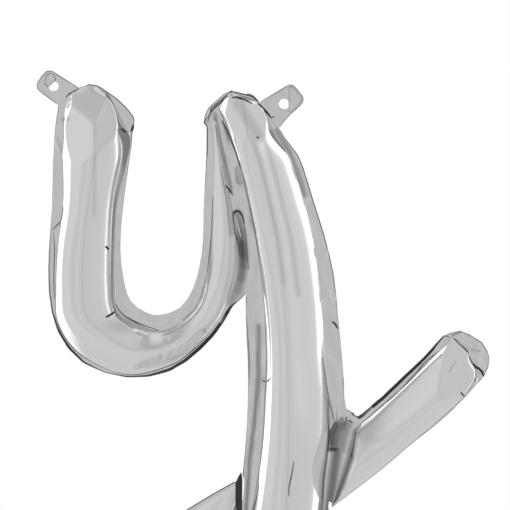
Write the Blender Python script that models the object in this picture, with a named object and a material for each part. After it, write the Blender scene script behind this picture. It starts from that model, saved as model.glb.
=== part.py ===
# Script letter foil balloon, a lowercase "y", built at its real size.
# Metres, X right, Z up, the front faces -Y. The origin lies midway between
# the two punched holes of the hanging tabs, on the seam plane.
import math

import bmesh
import bpy
from mathutils import Vector
from mathutils.bvhtree import BVHTree
from mathutils.geometry import delaunay_2d_cdt

MM = 0.001

FILM = 0.8          # thickness of a film shell, far over the real 0.04 mm
SEAM_GAP = 0.3      # clearance between the front and the back shell
TAB_THICK = 1.0     # both films of a tab, sealed together
HINGE_GAP = 0.65    # from the film's straight edge to the tab's root
HINGE_AXIS = 0.55   # from the film's straight edge to the fold's axis
DEPTH_RATIO = 0.97  # depth of a tube over half its width, on each side
ACROSS = 8          # steps across a tube
SUBSTEPS = 2        # stations between two rows of a table

# Each stroke is a tube between two seams, which run along it as two rails.
# Columns in mm: first rail x, z; second rail x, z; flange beside each rail.
CUP_ROWS = (
    (-96, -12, -43, -32, 9, 9),
    (-100, -30, -43, -46, 8, 8),
    (-102, -62, -46, -66, 8, 8),
    (-103, -104, -50, -104, 8, 7),
    (-106, -147, -53, -145, 8, 7),
    (-107, -186, -51, -180, 7, 9),
    (-101, -223, -45, -200, 5, 10),
    (-77, -252, -29, -212, 5, 9),
    (-37, -264, -13, -217, 5, 9),
    (1, -258, 9, -211, 5, 9),
    (30, -238, 24, -193, 4, 9),
    (50, -212, 33, -171, 5, 10),
    (61, -181, 38, -147, 8, 10),
    (63, -142, 40, -119, 11, 10),
    (60, -104, 42, -90, 9, 10),
    (55, -66, 43, -57, 6, 9),
    (49, -30, 43, -26, 4, 9),
)
STEM_ROWS = (
    (50, -16, 99, -25, 4, 7),
    (54, -33, 105, -38, 4, 4),
    (63, -57, 115, -57, 6, 8),
    (71, -81, 124, -79, 8, 7),
    (77, -104, 130, -102, 10, 8),
    (83, -138, 141, -134, 11, 7),
    (85, -176, 149, -172, 12, 8),
    (85, -214, 154, -212, 12, 7),
    (85, -252, 157, -252, 10, 8),
    (84, -290, 160, -292, 9, 7),
    (81, -328, 158, -328, 8, 5),
    (78, -361, 153, -364, 8, 4),
    (74, -392, 146, -402, 8, 6),
    (66, -425, 133, -442, 8, 7),
    (55, -451, 113, -480, 8, 7),
    (42, -471, 79, -517, 8, 7),
    (29, -480, 39, -533, 8, 7),
    (17, -476, -3, -523, 8, 7),
    (12, -466, -30, -493, 8, 6),
    (14, -452, -36, -457, 8, 5),
    (26, -442, -22, -426, 8, 4),
    (42, -436, 8, -404, 8, 4),
    (56, -431, 37, -386, 6, 4),
    (62, -429, 64, -370, 3, 4),
)
TAIL_ROWS = (
    (169, -317, 155, -385, 9, 2),
    (179, -314, 173, -375, 9, 2),
    (191, -307, 204, -351, 9, 2),
    (208, -292, 232, -328, 8, 2),
    (227, -271, 257, -308, 6, 2),
    (245, -253, 277, -289, 5, 2),
    (262, -237, 293, -271, 7, 2),
)

# Ends of a stroke in mm: length over which the tube falls to the end seam,
# how far the end seam bows outward, and the width of the flange beyond it.
STROKES = {
    # name: (rows, start end, last end)
    "cup": (CUP_ROWS, (42, 20, 6), (8, 0, 12)),
    "stem": (STEM_ROWS, (40, 14, 7), (24, 0, 3)),
    "tail": (TAIL_ROWS, (16, 0, 3), (36, 5, 7)),
}

# Flat film beside the strokes, in mm, as corner points x, z of convex areas.
WEBS = {
    "left_tab_seat": ((-84, 6), (-106, -9), (-104, -14), (-82, 1)),
    "right_tab_seat": ((87, -7), (105, -31), (100, -31), (83, -10)),
    "arm_end_left": ((-88, 2), (-83, 7.2), (-75, 10.5), (-67, 9), (-57, 2.5), (-63, -8), (-80, -5)),
    "arm_end_right": ((-64, 7.2), (-48, -4), (-39, -13), (-32, -22), (-34, -31), (-50, -24), (-64, -6)),
    "cup_end": ((33, -28), (35, -18), (42, -10.5), (50.5, -3), (59, 4), (63, 3), (62, -8), (41, -29)),
    "stem_end": ((57, 2), (60, 4), (65, 3), (73, 1), (79, -0.5), (85, -5), (89, -9), (68, -12), (56, -9)),
    "valley_top": ((58, -62), (70, -66), (82, -104), (62, -104)),
    "valley_middle": ((60, -102), (80, -102), (85, -140), (66, -140)),
    "valley_bottom": ((64, -138), (84, -138), (84, -190), (66, -184)),
    "cup_crotch": ((62, -184), (76, -184), (71, -191.5), (59.5, -202)),
    "tail_crotch": ((168, -300), (173, -301), (180, -308), (168, -320)),
    "tail_weld": ((152, -322), (172, -316), (158, -388), (146, -384)),
    "loop_weld": ((60, -385), (76, -385), (76, -436), (60, -436)),
}

# Tabs in mm: the two ends of the straight root on the film's edge, then the
# outline points beyond it in order, and the punched hole's centre and radius.
TABS = {
    "hang_tab_left": {
        "root": ((-106.0, -9.0), (-84.3, 6.2)),
        "outline": ((-111.4, 23.3), (-116.5, 22.8), (-121.0, 18.0), (-125.4, 11.0), (-125.2, 5.6), (-118.5, 0.0)),
        "hole": (-109.5, 8.3, 4.7),
    },
    "hang_tab_right": {
        "root": ((86.7, -6.6), (104.7, -31.3)),
        "outline": (
            (115.0, -19.0), (124.8, -10.5), (128.0, -6.2), (128.0, -1.9), (119.9, 8.1), (116.0, 10.2), (111.5, 8.6),
        ),
        "hole": (109.6, -8.6, 5.0),
    },
    "inflation_flap": {
        "root": ((267.5, -229.5), (299.0, -268.0)),
        "outline": ((303.2, -259.5), (304.6, -251.0), (303.0, -244.0), (297.5, -235.0), (286.0, -227.6), (277.0, -224.2)),
        "hole": None,
    },
}
TRIM_REACH = 26.0   # how far from a root's middle its straight edge is trimmed
HOLE_SIDES = 24

# Name: base colour, roughness, metallic.
MATERIALS = {
    "front_film": ((0.62, 0.63, 0.63), 0.17, 1.0),
    "back_film": ((0.62, 0.63, 0.63), 0.17, 1.0),
    "hang_tab_left": ((0.60, 0.61, 0.61), 0.24, 1.0),
    "hang_tab_right": ((0.60, 0.61, 0.61), 0.24, 1.0),
    "inflation_flap": ((0.60, 0.61, 0.61), 0.26, 1.0),
}


def clear_scene():
    for old in list(bpy.data.objects):
        bpy.data.objects.remove(old, do_unlink=True)


def make_collection(name):
    group = bpy.data.collections.new(name)
    bpy.context.scene.collection.children.link(group)
    return group


def make_material(name):
    colour, roughness, metallic = MATERIALS[name]
    material = bpy.data.materials.new(name)
    material.use_nodes = True
    shader = material.node_tree.nodes["Principled BSDF"]
    shader.inputs["Base Color"].default_value = (*colour, 1.0)
    shader.inputs["Roughness"].default_value = roughness
    shader.inputs["Metallic"].default_value = metallic
    return material


def add_object(name, bm, group, origin=Vector((0, 0, 0))):
    """Make a named object from a mesh in mm, with its origin at the given point."""
    bmesh.ops.translate(bm, vec=-origin, verts=bm.verts)
    bmesh.ops.scale(bm, vec=(MM, MM, MM), verts=bm.verts)
    bmesh.ops.recalc_face_normals(bm, faces=bm.faces)
    mesh = bpy.data.meshes.new(name)
    bm.to_mesh(mesh)
    bm.free()
    mesh.materials.append(make_material(name))
    made = bpy.data.objects.new(name, mesh)
    made.location = origin * MM
    group.objects.link(made)
    return made


# Tubes of the letter

def catmull(p0, p1, p2, p3, t):
    """Value of a smooth curve between p1 and p2."""
    a = 2 * p1
    b = p2 - p0
    c = 2 * p0 - 5 * p1 + 4 * p2 - p3
    d = -p0 + 3 * p1 - 3 * p2 + p3
    return 0.5 * (a + b * t + c * t * t + d * t * t * t)


def smooth_rows(rows):
    """Stations along a stroke, from the rows of its table."""
    stations = []
    last = len(rows) - 1
    for i in range(last):
        before = rows[max(i - 1, 0)]
        after = rows[min(i + 2, last)]
        for step in range(SUBSTEPS):
            t = step / SUBSTEPS
            four = zip(before, rows[i], rows[i + 1], after)
            stations.append([catmull(*values, t) for values in four])
    stations.append([float(value) for value in rows[last]])
    return stations


def end_factor(distance, length):
    """Quarter ellipse that brings a tube down to its end seam."""
    if distance >= length:
        return 1.0
    return math.sqrt(1 - (1 - distance / length) ** 2)


def end_bow(distance, length, bow):
    return bow * max(0.0, 1 - distance / length) ** 1.5


def stroke_grid(rows, start, finish):
    """Grid of points (x, z, height) over one stroke with its flanges."""
    stations = smooth_rows(rows)
    firsts = [Vector(row[0:2]) for row in stations]
    seconds = [Vector(row[2:4]) for row in stations]
    middles = [(a + b) / 2 for a, b in zip(firsts, seconds)]
    along = [0.0]
    for here, there in zip(middles, middles[1:]):
        along.append(along[-1] + (there - here).length)
    total = along[-1]

    grid = []
    for i, row in enumerate(stations):
        first, second = firsts[i], seconds[i]
        cross = (second - first).normalized()
        ahead = (middles[min(i + 1, len(middles) - 1)] - middles[max(i - 1, 0)]).normalized()
        from_start, to_end = along[i], total - along[i]
        bow = -end_bow(from_start, start[0], start[1]) + end_bow(to_end, finish[0], finish[1])
        depth = DEPTH_RATIO * (second - first).length / 2
        depth *= end_factor(from_start, start[0]) * end_factor(to_end, finish[0])
        line = [(*(first - cross * row[4]), 0.0)]
        for k in range(ACROSS + 1):
            angle = math.pi * k / ACROSS
            u = -math.cos(angle)
            point = first.lerp(second, (u + 1) / 2) + ahead * bow * (1 - u * u)
            line.append((*point, depth * math.sin(angle)))
        line.append((*(second + cross * row[5]), 0.0))
        grid.append(line)

    for index, end, width in ((0, 0, start[2]), (-1, len(stations) - 1, finish[2])):
        chord = (seconds[end] - firsts[end]).normalized()
        outward = Vector((-chord.y, chord.x))
        inside = middles[1] if index == 0 else middles[-2]
        if outward.dot(inside - middles[end]) > 0:
            outward = -outward
        extra = [(x + outward.x * width, z + outward.y * width, 0.0) for x, z, height in grid[index]]
        if index == 0:
            grid.insert(0, extra)
        else:
            grid.append(extra)
    return grid


def collect_cells():
    """Points and four-sided cells of all strokes and webs."""
    points, cells = [], []
    for rows, start, finish in STROKES.values():
        grid = stroke_grid(rows, start, finish)
        base = len(points)
        wide = len(grid[0])
        for line in grid:
            points.extend(line)
        for i in range(len(grid) - 1):
            for k in range(wide - 1):
                a = base + i * wide + k
                cells.append((a, a + 1, a + 1 + wide, a + wide))
    for web in WEBS.values():
        base = len(points)
        points.extend((x, z, 0.0) for x, z in web)
        cells.append(tuple(range(base, base + len(web))))
    return points, cells


def flat_letter():
    """Triangles of the whole letter in the seam plane, and their heights."""
    points, cells = collect_cells()
    flat = [Vector((x, z)) for x, z, height in points]
    for i, cell in enumerate(cells):
        area = 0.0
        for k, corner in enumerate(cell):
            p, q = flat[corner], flat[cell[(k + 1) % len(cell)]]
            area += p.x * q.y - q.x * p.y
        if area < 0:
            cells[i] = cell[::-1]
    verts, edges, faces, from_verts, from_edges, from_faces = delaunay_2d_cdt(flat, [], cells, 1, 1e-3, True)
    dome = BVHTree.FromPolygons([Vector(p) for p in points], cells, epsilon=1e-4)
    heights = []
    for vert, sources in zip(verts, from_verts):
        height = max([points[k][2] for k in sources], default=0.0)
        hit = dome.ray_cast(Vector((vert.x, vert.y, 500.0)), Vector((0, 0, -1)))[0]
        if hit:
            height = max(height, hit.z)
        heights.append(height if height > 0.05 else 0.0)
    kept = [face for face, source in zip(faces, from_faces) if source]
    return verts, heights, kept


def tab_frame(spec):
    """Root middle, direction along the root and direction away from the film."""
    a, b = (Vector((x, 0, z)) for x, z in spec["root"])
    along = (b - a).normalized()
    middle = (a + b) / 2
    away = Vector((-along.z, 0, along.x))
    tip = Vector((spec["outline"][1][0], 0, spec["outline"][1][1]))
    if away.dot(tip - middle) < 0:
        away = -away
    return middle, along, away


def trim_root(bm, spec):
    """Cut the flange straight along a tab's root."""
    middle, along, away = tab_frame(spec)
    near = [face for face in bm.faces if (face.calc_center_median() - middle).length < TRIM_REACH]
    geometry = set(near)
    for face in near:
        geometry.update(face.edges)
        geometry.update(face.verts)
    bmesh.ops.bisect_plane(bm, geom=list(geometry), dist=1e-4, plane_co=middle, plane_no=away, clear_outer=True)


def film_mesh():
    """Front film as a closed shell in mm, its flange on the seam plane."""
    verts, heights, faces = flat_letter()
    bm = bmesh.new()
    made = [bm.verts.new((v.x, 0.0, v.y)) for v in verts]
    lift = {vert: height for vert, height in zip(made, heights)}
    for face in faces:
        bm.faces.new([made[k] for k in face])
    for vert, height in lift.items():
        vert.co.y = -height
    bmesh.ops.delete(bm, geom=[v for v in bm.verts if not v.link_faces], context="VERTS")
    for spec in TABS.values():
        trim_root(bm, spec)
    bmesh.ops.dissolve_degenerate(bm, dist=0.02, edges=bm.edges)
    bmesh.ops.delete(bm, geom=[edge for edge in bm.edges if not edge.link_faces], context="EDGES")
    bmesh.ops.triangulate(bm, faces=[f for f in bm.faces if len(f.verts) > 3])
    bmesh.ops.recalc_face_normals(bm, faces=bm.faces)
    if sum(face.normal.y * face.calc_area() for face in bm.faces) > 0:
        bmesh.ops.reverse_faces(bm, faces=bm.faces)
    bmesh.ops.translate(bm, vec=(0, -SEAM_GAP / 2 - FILM, 0), verts=bm.verts)
    return bm


def thicken(bm):
    """Close a film's outer surface into a shell, which never passes the seam plane."""
    bm.normal_update()
    outer = bm.verts[:]
    faces = bm.faces[:]
    rim = [edge for edge in bm.edges if edge.is_boundary]
    inner = {}
    for vert in outer:
        place = vert.co - vert.normal * FILM * min(vert.calc_shell_factor(), 1.3)
        place.y = min(place.y, -SEAM_GAP / 2)
        if abs(vert.co.y + SEAM_GAP / 2 + FILM) < 1e-6:
            place.y = -SEAM_GAP / 2
        if any(edge.is_boundary for edge in vert.link_edges):
            place.x, place.z = vert.co.x, vert.co.z
        inner[vert] = place
    twins = {vert: bm.verts.new(place) for vert, place in inner.items()}
    for face in faces:
        bm.faces.new([twins[vert] for vert in reversed(face.verts)])
    for edge in rim:
        loop = edge.link_loops[0]
        a, b = loop.vert, loop.link_loop_next.vert
        bm.faces.new((b, a, twins[a], twins[b]))


def add_film(name, side, group):
    """One film of the envelope; side is 1 for the front, -1 for the back."""
    bm = film_mesh()
    thicken(bm)
    if side < 0:
        bmesh.ops.scale(bm, vec=(1, -1, 1), verts=bm.verts)
    return add_object(name, bm, group)


# Tabs and flap

def add_tab(name, spec, group):
    """Flat plate beyond a straight root, with its punched hole."""
    middle, along, away = tab_frame(spec)
    start, end = (Vector((x, 0, z)) + away * HINGE_GAP for x, z in spec["root"])
    outline = [start] + [end]
    rest = [Vector((x, 0, z)) for x, z in spec["outline"]]
    if (rest[0] - end).length > (rest[-1] - end).length:
        rest.reverse()
    outline += rest
    rings = [outline]
    if spec["hole"]:
        x, z, radius = spec["hole"]
        ring = []
        for k in range(HOLE_SIDES):
            angle = 2 * math.pi * k / HOLE_SIDES
            ring.append(Vector((x + radius * math.cos(angle), 0, z + radius * math.sin(angle))))
        rings.append(ring)
    flat, edges = [], []
    for ring in rings:
        base = len(flat)
        flat.extend(Vector((p.x, p.z)) for p in ring)
        edges.extend((base + k, base + (k + 1) % len(ring)) for k in range(len(ring)))
    verts, made_edges, faces, *_ = delaunay_2d_cdt(flat, edges, [], 2 if not spec["hole"] else 1, 1e-4, True)
    bm = bmesh.new()
    made = [bm.verts.new((v.x, TAB_THICK / 2, v.y)) for v in verts]
    for face in faces:
        centre = sum((verts[k] for k in face), Vector((0, 0))) / len(face)
        if spec["hole"] and (centre - Vector(spec["hole"][:2])).length < spec["hole"][2] * 0.97:
            continue
        bm.faces.new([made[k] for k in face])
    bmesh.ops.recalc_face_normals(bm, faces=bm.faces)
    grown = bmesh.ops.extrude_face_region(bm, geom=bm.faces[:])
    moved = [item for item in grown["geom"] if isinstance(item, bmesh.types.BMVert)]
    bmesh.ops.translate(bm, vec=(0, -TAB_THICK, 0), verts=moved)
    return add_object(name, bm, group, middle + away * HINGE_AXIS)


clear_scene()
balloon = make_collection("script_letter_foil_balloon")
add_film("front_film", 1, balloon)
add_film("back_film", -1, balloon)
for tab_name, tab_spec in TABS.items():
    add_tab(tab_name, tab_spec, balloon)
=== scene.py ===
# Script letter foil balloon: the inflated film, its seams and tabs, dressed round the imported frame
import math
import random

import bmesh
import bpy
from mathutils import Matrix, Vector, noise
from mathutils.bvhtree import BVHTree
from mathutils.kdtree import KDTree
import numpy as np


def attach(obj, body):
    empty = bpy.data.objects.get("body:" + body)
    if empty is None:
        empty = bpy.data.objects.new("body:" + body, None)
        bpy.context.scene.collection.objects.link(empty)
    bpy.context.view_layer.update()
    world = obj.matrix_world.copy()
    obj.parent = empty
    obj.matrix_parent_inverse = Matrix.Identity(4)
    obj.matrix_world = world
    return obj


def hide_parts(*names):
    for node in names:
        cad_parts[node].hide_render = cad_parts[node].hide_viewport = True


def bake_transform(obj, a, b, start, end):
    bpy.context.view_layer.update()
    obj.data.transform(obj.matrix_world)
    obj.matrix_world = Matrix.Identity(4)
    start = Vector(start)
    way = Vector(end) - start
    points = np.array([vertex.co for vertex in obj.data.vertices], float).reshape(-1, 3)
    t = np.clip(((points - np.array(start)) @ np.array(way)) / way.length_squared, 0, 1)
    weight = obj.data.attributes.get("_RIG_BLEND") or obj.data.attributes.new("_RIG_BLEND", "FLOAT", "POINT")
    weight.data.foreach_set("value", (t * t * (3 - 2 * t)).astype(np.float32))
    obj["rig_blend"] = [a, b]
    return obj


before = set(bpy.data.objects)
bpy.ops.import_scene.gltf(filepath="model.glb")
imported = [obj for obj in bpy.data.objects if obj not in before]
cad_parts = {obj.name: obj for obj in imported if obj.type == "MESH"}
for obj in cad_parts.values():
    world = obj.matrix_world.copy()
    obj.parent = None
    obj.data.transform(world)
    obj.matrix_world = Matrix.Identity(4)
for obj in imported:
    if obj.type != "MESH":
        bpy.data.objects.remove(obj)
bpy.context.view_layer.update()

mm = 0.001
print("frame loaded:", len(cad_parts), "nodes")


# Camera, world and floor

camera = {
    "lens": 200.0,
    "sensor": 36.0,
    "pictureWidth": 484.5 * mm,     # real width that the picture spans at the seam plane
    "aim": (81.9 * mm, -152.0 * mm),  # x, z at the middle of the picture
}
floor = {"height": -640 * mm, "radius": 0.5, "colour": (0.95, 0.95, 0.945)}

# Studio seen by the foil, as shares of a half turn from the camera side and their brightness
studio = {
    "left": ((0.0, 0.69), (0.05, 0.73), (0.12, 0.65), (0.22, 0.77), (0.40, 0.75), (0.455, 0.76),
             (0.475, 1.9), (0.76, 1.9), (0.80, 0.50), (0.92, 0.60), (1.0, 0.70)),
    "right": ((0.0, 0.69), (0.05, 0.64), (0.10, 0.71), (0.155, 0.57), (0.22, 0.66), (0.36, 0.68),
              (0.44, 0.76), (0.465, 1.7), (0.56, 1.9), (0.578, 0.24), (0.82, 0.24), (0.93, 0.55),
              (1.0, 0.68)),
    "overhead": 0.50,
    "softbox": 0.80,
    "below": 0.71,
    "highFrom": 0.66, "highTo": 0.92,      # upward part of the view where the overhead tone takes over
    "topFrom": 0.90, "topTo": 1.0,         # straight above, the large light that also whitens the floor
    "leftLowFrom": -0.30, "leftLowTo": -0.85,    # downward part where the tone below takes over
    "rightLowFrom": -0.12, "rightLowTo": -0.45,
}


def makeCamera():
    data = bpy.data.cameras.new("studioCamera")
    data.lens = camera["lens"]
    data.sensor_width = camera["sensor"]
    made = bpy.data.objects.new("studioCamera", data)
    away = camera["pictureWidth"] * camera["lens"] / camera["sensor"]
    made.location = (camera["aim"][0], -away, camera["aim"][1])
    made.rotation_euler = (math.pi / 2, 0, 0)
    bpy.context.scene.collection.objects.link(made)
    bpy.context.scene.camera = made


def rampNode(tree, stops):
    node = tree.nodes.new("ShaderNodeValToRGB")
    elements = node.color_ramp.elements
    elements[0].position, elements[-1].position = stops[0][0], stops[-1][0]
    for place, value in stops[1:-1]:
        elements.new(place)
    for element, (place, value) in zip(elements, stops):
        element.color = (value, value, value, 1)
    return node


def mathNode(tree, operation, *values):
    node = tree.nodes.new("ShaderNodeMath")
    node.operation = operation
    for socket, value in zip(node.inputs, values):
        if isinstance(value, bpy.types.NodeSocket):
            tree.links.new(value, socket)
        else:
            socket.default_value = value
    return node.outputs[0]


def mixNode(tree, share, first, second):
    node = tree.nodes.new("ShaderNodeMix")
    node.data_type = "RGBA"
    for socket, value in zip((node.inputs[0], node.inputs[6], node.inputs[7]), (share, first, second)):
        if isinstance(value, bpy.types.NodeSocket):
            tree.links.new(value, socket)
        else:
            socket.default_value = value
    return node.outputs[2]


def grey(value):
    return (value, value, value, 1)


def makeWorld():
    world = bpy.data.worlds.new("softStudio")
    bpy.context.scene.world = world
    world.use_nodes = True
    tree = world.node_tree
    tree.nodes.clear()
    link = tree.links.new
    split = tree.nodes.new("ShaderNodeSeparateXYZ")
    link(tree.nodes.new("ShaderNodeTexCoord").outputs["Generated"], split.inputs[0])
    x, y, z = split.outputs
    turn = mathNode(tree, "ARCTAN2", mathNode(tree, "ABSOLUTE", x), mathNode(tree, "MULTIPLY", y, -1.0))
    share = mathNode(tree, "DIVIDE", turn, math.pi)
    sides = {}
    for side in ("left", "right"):
        ramp = rampNode(tree, studio[side])
        link(share, ramp.inputs[0])
        sides[side] = ramp.outputs[0]
    reaches = {}
    for end in ("leftLow", "rightLow", "high", "top"):
        reach = tree.nodes.new("ShaderNodeMapRange")
        reach.interpolation_type = "SMOOTHSTEP"
        reach.inputs["From Min"].default_value = studio[end + "From"]
        reach.inputs["From Max"].default_value = studio[end + "To"]
        link(z, reach.inputs["Value"])
        reaches[end] = reach.outputs[0]
    left = mixNode(tree, reaches["leftLow"], sides["left"], grey(studio["below"]))
    right = mixNode(tree, reaches["rightLow"], sides["right"], grey(studio["below"]))
    shade = mixNode(tree, mathNode(tree, "GREATER_THAN", x, 0.0), left, right)
    for end, tone in (("high", "overhead"), ("top", "softbox")):
        shade = mixNode(tree, reaches[end], shade, grey(studio[tone]))
    seen = mixNode(tree, tree.nodes.new("ShaderNodeLightPath").outputs["Is Camera Ray"], shade, grey(1.0))
    background = tree.nodes.new("ShaderNodeBackground")
    link(seen, background.inputs["Color"])
    link(background.outputs[0], tree.nodes.new("ShaderNodeOutputWorld").inputs["Surface"])


def makeFloor():
    bm = bmesh.new()
    bmesh.ops.create_circle(bm, cap_ends=True, segments=96, radius=floor["radius"])
    bmesh.ops.translate(bm, vec=(camera["aim"][0], 0, floor["height"]), verts=bm.verts)
    mesh = bpy.data.meshes.new("studioFloor")
    bm.to_mesh(mesh)
    bm.free()
    material = bpy.data.materials.new("paleFloor")
    material.use_nodes = True
    shader = material.node_tree.nodes["Principled BSDF"]
    shader.inputs["Base Color"].default_value = (*floor["colour"], 1)
    shader.inputs["Roughness"].default_value = 0.85
    mesh.materials.append(material)
    made = bpy.data.objects.new("studioFloor", mesh)
    bpy.context.scene.collection.objects.link(made)


makeCamera()
makeWorld()
makeFloor()
bpy.context.scene.view_settings.view_transform = "Standard"
print("studio ready")


# Foil finish, with painted shade at curled edges and folds

foil = {
    "filmColour": (0.80, 0.805, 0.81),
    "filmRoughness": 0.10,
    "sealRoughness": 0.12,
    "rimShade": 0.05,           # tone that painted shade gives a curled edge or a deep fold, against the film's colour
    "knurlHeight": 0.000003,
    "creaseHeight": 0.00005,
}


def makeFoilGroup():
    group = bpy.data.node_groups.new("foilFinishAndPaintedShade", "ShaderNodeTree")
    for name, kind in (("Colour", "NodeSocketColor"), ("Seal", "NodeSocketFloat"), ("Rim", "NodeSocketFloat"),
                       ("Painted Shade", "NodeSocketFloat"), ("Film Roughness", "NodeSocketFloat"),
                       ("Seal Roughness", "NodeSocketFloat"), ("Rim Shade", "NodeSocketFloat")):
        group.interface.new_socket(name=name, in_out="INPUT", socket_type=kind)
    for name, kind in (("Colour", "NodeSocketColor"), ("Roughness", "NodeSocketFloat"),
                       ("Height", "NodeSocketFloat")):
        group.interface.new_socket(name=name, in_out="OUTPUT", socket_type=kind)
    link = group.links.new
    given = group.nodes.new("NodeGroupInput").outputs
    result = group.nodes.new("NodeGroupOutput").inputs
    place = group.nodes.new("ShaderNodeTexCoord").outputs["Object"]

    def noiseAt(scale, detail):
        node = group.nodes.new("ShaderNodeTexNoise")
        node.inputs["Scale"].default_value = scale
        node.inputs["Detail"].default_value = detail
        link(place, node.inputs["Vector"])
        return node.outputs[0]

    smudge = noiseAt(14.0, 3.0)
    fine = noiseAt(420.0, 2.0)
    rough = mathNode(group, "ADD", given["Film Roughness"], mathNode(group, "MULTIPLY", smudge, 0.06))
    sealRough = mathNode(group, "ADD", given["Seal Roughness"], mathNode(group, "MULTIPLY", fine, 0.10))
    roughMix = group.nodes.new("ShaderNodeMix")
    link(given["Seal"], roughMix.inputs[0])
    link(rough, roughMix.inputs[2])
    link(sealRough, roughMix.inputs[3])
    link(roughMix.outputs[0], result["Roughness"])

    # Colour: the seal a little duller, then darkened by painted shade from the rim and painted-shade masks
    dull = mathNode(group, "SUBTRACT", 1.0, mathNode(group, "MULTIPLY", given["Seal"], 0.12))
    darker = mathNode(group, "SUBTRACT", 1.0, given["Rim Shade"])
    paintedDarkness = mathNode(group, "MAXIMUM", given["Rim"], given["Painted Shade"])
    edge = mathNode(group, "SUBTRACT", 1.0, mathNode(group, "MULTIPLY", paintedDarkness, darker))
    tone = mathNode(group, "MULTIPLY", dull, edge)
    colour = group.nodes.new("ShaderNodeMix")
    colour.data_type = "RGBA"
    colour.blend_type = "MULTIPLY"
    colour.inputs[0].default_value = 1.0
    link(given["Colour"], colour.inputs[6])
    link(tone, colour.inputs[7])
    link(colour.outputs[2], result["Colour"])

    knurl = group.nodes.new("ShaderNodeTexWave")
    knurl.inputs["Scale"].default_value = 210.0
    knurl.bands_direction = "DIAGONAL"
    link(place, knurl.inputs["Vector"])
    onSeal = mathNode(group, "MULTIPLY", knurl.outputs[1], given["Seal"])
    pressed = mathNode(group, "MULTIPLY", onSeal, foil["knurlHeight"])
    crease = mathNode(group, "MULTIPLY", noiseAt(60.0, 2.0), foil["creaseHeight"])
    link(mathNode(group, "ADD", pressed, crease), result["Height"])
    return group


def makeFoilMaterial(name, group):
    material = bpy.data.materials.new(name)
    material.use_nodes = True
    tree = material.node_tree
    shader = tree.nodes["Principled BSDF"]
    shader.inputs["Metallic"].default_value = 1.0
    finish = tree.nodes.new("ShaderNodeGroup")
    finish.node_tree = group
    finish.inputs["Colour"].default_value = (*foil["filmColour"], 1)
    finish.inputs["Film Roughness"].default_value = foil["filmRoughness"]
    finish.inputs["Seal Roughness"].default_value = foil["sealRoughness"]
    finish.inputs["Rim Shade"].default_value = foil["rimShade"]
    for layer, socket in (("seal", "Seal"), ("rim", "Rim"), ("fold", "Painted Shade")):
        mask = tree.nodes.new("ShaderNodeAttribute")
        mask.attribute_name = layer
        tree.links.new(mask.outputs["Fac"], finish.inputs[socket])
    bump = tree.nodes.new("ShaderNodeBump")
    bump.inputs["Strength"].default_value = 1.0
    bump.inputs["Distance"].default_value = 1.0
    tree.links.new(finish.outputs["Colour"], shader.inputs["Base Color"])
    tree.links.new(finish.outputs["Roughness"], shader.inputs["Roughness"])
    tree.links.new(finish.outputs["Height"], bump.inputs["Height"])
    tree.links.new(bump.outputs[0], shader.inputs["Normal"])
    return material


foilGroup = makeFoilGroup()
filmMaterial = makeFoilMaterial("mirrorFilm", foilGroup)
print("foil finish ready")


# The three inflated strokes of the letter
# Rows in mm: first rail x, z; second rail x, z; section at either rail, from -1 boxed through 0 round
# to 1 straight; lean of the crown to the second rail; depth as a share of the half width

film = {
    "spacing": 3.4,         # mm between stations along a stroke
    "acrossSteps": 34,
    "streak": 0.07,         # mm, soft waves that run along a stroke
    "streakWave": 2.6,
    "streakLength": 150.0,
}

cup = {
    "name": "cupTube",
    "rows": (
        (-98, -8, -37, -37, 0, 0.5, 0, 0.95), (-100.5, -28, -36.5, -47, 0, 0.4, 0, 0.95),
        (-101.5, -62, -40, -66, -0.1, 0.4, -0.05, 0.95), (-101.5, -104, -48.5, -104, -0.1, 0.55, -0.10, 0.95),
        (-106, -147, -51, -145, -0.4, 0.6, -0.12, 0.95), (-107.5, -186, -51, -181, -0.4, 0.6, -0.12, 0.95),
        (-105.5, -217.5, -47.5, -204, 0, 0.5, -0.10, 0.90), (-83.5, -248, -28, -218, 0.5, 0.6, 0, 0.85),
        (-40, -266, -9, -223.5, 0.8, 0.8, 0, 0.80), (2, -257.3, 12.5, -214.5, 0.9, 0.9, 0, 0.70),
        (30, -236.3, 28, -197.5, 0.9, 0.9, 0, 0.60), (50.3, -208.8, 36.5, -170, 0.9, 0.9, 0, 0.50),
        (61, -178, 39.5, -146, 0.9, 0.9, 0, 0.45), (64.5, -142, 41.2, -119, 0.9, 0.9, 0, 0.42),
        (60, -104, 42, -90, 0.9, 0.9, 0, 0.42), (52, -66, 42.5, -57, 0.9, 0.9, 0, 0.45),
        (45, -26, 42, -24, 0.9, 0.9, 0, 0.45),
    ),
    "start": {"length": 40, "seam": ((-98, -8), (-94, 0.5), (-84, 7), (-73, 8), (-64, 5), (-55, -2),
                                     (-46, -19), (-37, -37))},
    "finish": {"length": 10, "seam": None},
    "seed": 5,
}
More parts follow.
